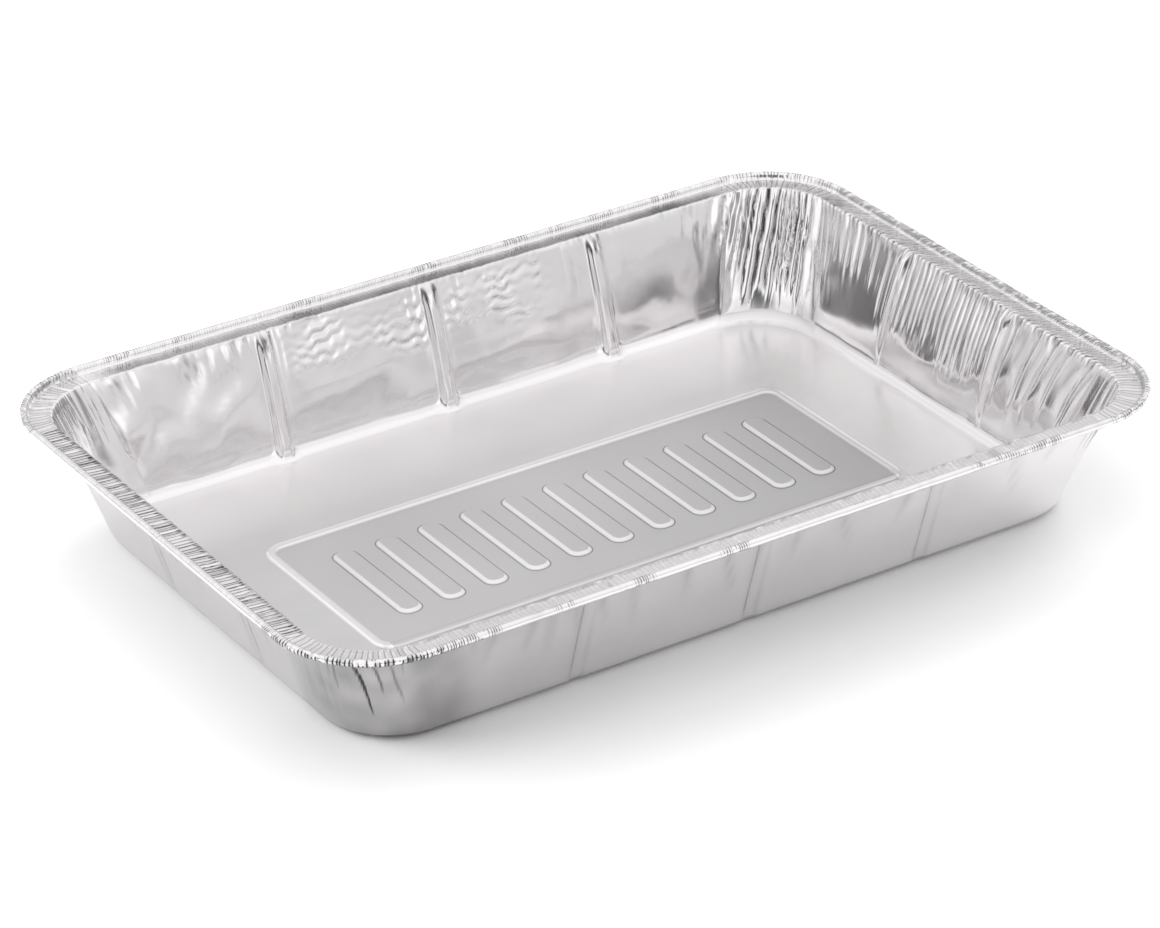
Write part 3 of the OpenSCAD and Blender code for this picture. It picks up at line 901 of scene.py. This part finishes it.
def surface_group():
    """The foil's surface from its place and side: how bright it is drawn, with painted shade, how rough it
    is, and its grain.
    """
    tree, start, end = add_group("foil_surface", ("Place", "Facing"), ("Brightness", "Roughness", "Height"))
    times, plus, minus, larger, above, below = sums(tree)
    place = start.outputs["Place"]
    along_x, along_y, up = make_node(tree, "ShaderNodeSeparateXYZ", {0: place}).outputs
    off_middle = [math_node(tree, "ABSOLUTE", way, 0.0) for way in (along_x, along_y)]

    def noise_value(scale, detail):
        inputs = {"Vector": place, "Scale": scale, "Detail": detail}
        return make_node(tree, "ShaderNodeTexNoise", inputs).outputs[0]

    inside = [below(off, (half - 0.6 * BEAD_WIDTH) * MM) for off, half in zip(off_middle, FRAME_HALF)]
    low_enough = below(up, 3 * MM)
    framed = times(times(*inside), low_enough)
    beyond = [minus(off, (half + 0.2) * MM) for off, half in zip(off_middle, FRAME_HALF)]
    past_frame = above(larger(*beyond), 0.0)
    on_floor = below(up, 2.5 * MM)
    plain_floor = larger(below(up, (FOIL + 0.25) * MM), times(past_frame, on_floor))
    rib_tops = above(up, (FOIL + FLOOR_RIB_HEIGHT - 0.05) * MM)

    level = vector_node(tree, "MULTIPLY", place, (1, 1, 0))[0]
    outward = vector_node(tree, "NORMALIZE", level)[0]
    facing_out = vector_node(tree, "DOT_PRODUCT", outward, start.outputs["Facing"])["Value"]
    past_floor = [minus(off, (half - 3) * MM) for off, half in zip(off_middle, floor_half)]
    outer = times(above(facing_out, 0.1), below(up, (SHELF_HEIGHT - 0.9) * MM))
    outer = times(outer, above(larger(*past_floor), 0.0))

    grain = times(noise_value(1500.0, 2.0), plus(times(framed, 0.03), 0.004))
    soft = times(noise_value(26.0, 2.0), 0.9)
    small = times(noise_value(110.0, 2.0), 0.06)
    tree.links.new(plus(plus(grain, soft), small), end.inputs["Height"])
    rough = plus(times(framed, 0.12), plus(times(noise_value(45.0, 3.0), 0.06), 0.09))
    rough = plus(plus(rough, times(on_floor, 0.12)), times(outer, 0.1))
    tree.links.new(rough, end.inputs["Roughness"])

    near_bead_shade = below(along_y, (BEAD_WIDTH + 0.4 - FRAME_HALF[1]) * MM)
    near_bead_shade = times(near_bead_shade, minus(1.0, past_frame))
    near_bead_shade = times(near_bead_shade, below(off_middle[0], (FRAME_HALF[0] - 5) * MM))
    outside_frame = times(plain_floor, past_frame)
    right_half = larger(along_x, 0.0)
    shares = (
        # Painted shade in the sheet's folds, creases and crevices.
        (attribute(tree, "painted_fold_shade")["Fac"], PAINTED_SHADE_STRENGTH),
        (framed, FRAMED_DULL),
        (plus(plain_floor, times(rib_tops, framed)), FLOOR_DULL),
        # Painted shade on the front side of the frame's bead.
        (times(near_bead_shade, low_enough), NEAR_BEAD_SHADE),
        # The plain floor brighter towards the back wall and the right end; the framed part darker on its
        # right half.
        (times(larger(minus(along_x, BRIGHT_FROM_X), 0.0), outside_frame), -1.2),
        (times(larger(minus(along_y, BRIGHT_FROM_Y), 0.0), outside_frame), -5.0),
        (times(right_half, framed), 1.3),
        # Painted shade on the outer walls, lighter on the right and darker towards the left.
        (times(right_half, outer), -0.5),
        (outer, OUTER_SHADE),
        (times(along_x, outer), -0.6),
        (minus(noise_value(14.0, 1.0), 0.5), CLOUDY_DULL),
    )
    shade_and_dullness = 0.0
    for share, amount in shares:
        shade_and_dullness = plus(shade_and_dullness, times(share, amount))
    tree.links.new(minus(1.0, shade_and_dullness), end.inputs["Brightness"])
    return tree


surface = surface_group()
print("surface group:", len(surface.nodes), "nodes")

# %% [markdown]
# The finest folds of the shelf and roll are closer than the points of the sheet. Each is a
# line of painted shade at an uneven distance from the next, with a slight ridge between
# them, so a one-dimensional cell pattern runs along the sheet. Its place comes from an attribute.

# %% Fine folds
SHELF_FOLD, SHELF_FOLD_LINE = 1.8, 0.3
ROLL_FOLD, ROLL_FOLD_LINE = 1.0, 0.26


def fine_folds_group():
    """Fine squeezed folds across the shelf and the roll: their painted shade, and their height."""
    tree, _, end = add_group("fine_folds", (), ("Dark", "Height"))
    times, plus = sums(tree)[:2]
    along = attribute(tree, "fold_place")["Vector"]
    split = make_node(tree, "ShaderNodeSeparateXYZ", {0: along})

    def row_of_folds(pitch, line_width):
        """Lines of painted shade at uneven distances, a grey for each fold between them, and its height."""
        cells = {"W": split.outputs["X"], "Scale": 1 / pitch, "Randomness": 0.8}
        edges, greys = [
            make_node(tree, "ShaderNodeTexVoronoi", cells, voronoi_dimensions="1D", feature=feature)
            for feature in ("DISTANCE_TO_EDGE", "F1")
        ]
        ridge = edges.outputs["Distance"]
        return between(tree, ridge, 0.0, line_width / pitch, 1.0, 0.0), greys.outputs["Color"], ridge

    def broken(stretch):
        """1 along some stretches of the lines, 0 along others."""
        inputs = {"Vector": vector_node(tree, "MULTIPLY", along, stretch)[0], "Scale": 1.0, "Detail": 1.0}
        return between(tree, make_node(tree, "ShaderNodeTexNoise", inputs).outputs[0], 0.38, 0.52)

    shelf = attribute(tree, "shelf_lines")["Fac"]
    roll = attribute(tree, "roll_ticks")["Fac"]
    line, grey, ridge = row_of_folds(SHELF_FOLD, SHELF_FOLD_LINE)
    on_shelf = times(shelf, plus(times(line, 0.7), times(times(grey, grey), 0.3)))
    tick, tick_grey, tick_ridge = row_of_folds(ROLL_FOLD, ROLL_FOLD_LINE)
    on_roll = times(times(roll, broken((0.4, 0.22, 0.0))), plus(times(tick, 0.85), times(tick_grey, 0.2)))
    tree.links.new(plus(on_shelf, on_roll), end.inputs["Dark"])
    ridges = plus(times(times(shelf, ridge), 0.3), times(times(roll, tick_ridge), 0.12))
    tree.links.new(ridges, end.inputs["Height"])
    return tree


folds = fine_folds_group()
print("fine folds group:", len(folds.nodes), "nodes")

# %% [markdown]
# The foil is one metal, so Metallic stays 1 all over and is set on the shader itself. The
# groups only feed what changes over the sheet: its colour, its roughness and its bump.

# %% Foil
FOIL_TINT = (0.9, 0.883, 0.887)
DARKEST = 0.08
foil = bpy.data.materials.new("foil")
foil.use_nodes = True
tree = foil.node_tree
shader = tree.nodes["Principled BSDF"]
shader.inputs["Metallic"].default_value = 1.0
spot = tree.nodes.new("ShaderNodeTexCoord").outputs
inputs = {"Place": spot["Object"], "Facing": spot["Normal"]}
body = make_node(tree, "ShaderNodeGroup", inputs, node_tree=surface)
lines = make_node(tree, "ShaderNodeGroup", node_tree=folds)
tree.links.new(body.outputs["Roughness"], shader.inputs["Roughness"])
bright = math_node(tree, "SUBTRACT", body.outputs["Brightness"], lines.outputs["Dark"])
bright = math_node(tree, "MAXIMUM", bright, DARKEST)
tint = vector_node(tree, "MULTIPLY", bright, FOIL_TINT)[0]
tree.links.new(tint, shader.inputs["Base Color"])
height = math_node(tree, "ADD", body.outputs["Height"], lines.outputs["Height"])
bump = make_node(tree, "ShaderNodeBump", {"Height": height, "Strength": 1.0, "Distance": MM})
tree.links.new(bump.outputs["Normal"], shader.inputs["Normal"])

sheet_mesh.materials.append(foil)
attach(sheet, "root")
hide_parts("pan")
print("finish:", sheet_mesh.materials[0].name)

# %% [markdown]
# ## Table, room and lamps
# The pan stands on a white table that runs on past the picture.

# %% Table
bpy.ops.mesh.primitive_plane_add(size=12.0, location=(0, 0, 0))
table = bpy.context.object
table.name = "table"
white = bpy.data.materials.new("table_white")
white.use_nodes = True
paper = white.node_tree.nodes["Principled BSDF"]
paper.inputs["Base Color"].default_value = (0.9, 0.9, 0.9, 1)
paper.inputs["Roughness"].default_value = 0.9
paper.inputs["Specular IOR Level"].default_value = 0.1
table.data.materials.append(white)
print("table, m:", tuple(table.dimensions))

# %% [markdown]
# Bright foil shows what stands round it, so the room has a bright ceiling, a greyer
# horizon, and some darker and brighter cards at the sides, as a photographer sets them up.
# Real planes would also light the table, but cards in the world show only in the foil. A
# card has an azimuth, an elevation, half its width and the width of its soft edge, all in
# degrees, and what it adds to the room's brightness.

# %% Room
ROOM_LIGHT = 1.16
HORIZON, CEILING = 0.6, 1.35
CARDS = (
    (-130, 20, 15, 14, -0.55),
    (-90, 20, 16, 14, 0.55),
    (-170, 20, 16, 14, 0.55),
    (-62, 4, 26, 14, 0.35),
    (-150, 6, 13, 8, 0.50),
    (-175, 4, 14, 8, 0.15),
    (-95, 4, 9, 7, -0.30),
    (-20, 8, 18, 12, -0.20),
    (55, 7, 24, 10, 0.45),
    (57, 34, 16, 16, -0.24),
    (82, 37, 10, 8, 0.20),
    (20, 10, 18, 10, 0.55),
    (100, 8, 14, 10, 0.15),
    (124, 20, 18, 12, 0.35),
    (160, 6, 14, 8, 0.25),
)

world = bpy.data.worlds.new("room")
bpy.context.scene.world = world
world.use_nodes = True
world.cycles.sampling_method = "NONE"
tree = world.node_tree
tree.nodes.clear()
way = tree.nodes.new("ShaderNodeTexCoord").outputs["Generated"]
upward = make_node(tree, "ShaderNodeSeparateXYZ", {0: way}).outputs["Z"]
strength = between(tree, upward, 0.05, 0.85, HORIZON, CEILING)
for azimuth, elevation, half_width, soft, change in CARDS:
    a, e = math.radians(azimuth), math.radians(elevation)
    toward = (math.cos(a) * math.cos(e), math.sin(a) * math.cos(e), math.sin(e))
    facing = vector_node(tree, "DOT_PRODUCT", way, toward)["Value"]
    edge, inner = (math.cos(math.radians(half_width + k * soft)) for k in (0.5, -0.5))
    strength = math_node(tree, "ADD", strength, between(tree, facing, edge, inner, 0.0, change))
ray = tree.nodes.new("ShaderNodeLightPath").outputs
inputs = {0: ray["Is Glossy Ray"], 2: ROOM_LIGHT, 3: strength}
evenly = make_node(tree, "ShaderNodeMix", inputs, data_type="FLOAT").outputs[0]
inputs = {0: ray["Is Camera Ray"], 2: evenly, 3: 1.0}
whole = make_node(tree, "ShaderNodeMix", inputs, data_type="FLOAT").outputs[0]
background = make_node(tree, "ShaderNodeBackground", {"Strength": whole}).outputs[0]
make_node(tree, "ShaderNodeOutputWorld", {0: background})
print("room:", len(CARDS), "cards, horizon", HORIZON, "ceiling", CEILING)

# %% [markdown]
# Three large soft lamps, two at the back and a weak one above, give the pan its soft
# shadow. All point at the middle of the pan. The foil doesn't mirror them, because the
# room already gives it its highlights.

# %% Lamps
LAMPS = (
    ("left_light", (-1.5, 0.85, 0.95), 23.0),
    ("right_light", (1.5, 0.7, 0.95), 17.0),
    ("top_light", (0.0, -0.3, 1.5), 3.3),
)
LAMP_SIZE = (1.4, 0.8)

for name, place, power in LAMPS:
    lamp = bpy.data.lights.new(name, "AREA")
    lamp.shape = "RECTANGLE"
    lamp.size, lamp.size_y = LAMP_SIZE
    lamp.energy = power
    stand = bpy.data.objects.new(name, lamp)
    stand.location = place
    stand.rotation_euler = (-Vector(place)).to_track_quat("-Z", "Y").to_euler()
    stand.visible_glossy = False
    bpy.context.scene.collection.objects.link(stand)
    print(name, power, "W")

# %% [markdown]
# ## Camera
# The camera's place, aim, roll and lens come from a fit of the pan's outline to the photo.
# The aim is a direction, so the camera's axes are worked out from it.

# %% Camera
CAMERA_PLACE = (-0.76497, -1.18161, 0.78057)
CAMERA_AIM = Vector((0.47673, 0.73916, -0.47578))
CAMERA_ROLL = math.radians(-0.871)
SENSOR = 36.0
PHOTO_WIDTH, FOCAL_PIXELS = 1160, 4651.8
LENS = FOCAL_PIXELS * SENSOR / PHOTO_WIDTH
camera = bpy.data.cameras.new("camera")
camera.sensor_width = SENSOR
camera.lens = LENS
camera_stand = bpy.data.objects.new("camera", camera)
bpy.context.scene.collection.objects.link(camera_stand)
level = CAMERA_AIM.cross(Vector((0, 0, 1))).normalized()
upward = level.cross(CAMERA_AIM)
right = level * math.cos(CAMERA_ROLL) + upward * math.sin(CAMERA_ROLL)
up = -level * math.sin(CAMERA_ROLL) + upward * math.cos(CAMERA_ROLL)
turn = Matrix((right, up, -CAMERA_AIM)).transposed().to_4x4()
camera_stand.matrix_world = Matrix.Translation(CAMERA_PLACE) @ turn
scene = bpy.context.scene
scene.camera = camera_stand
scene.view_settings.view_transform = "Standard"
print("lens, mm:", round(LENS, 1))
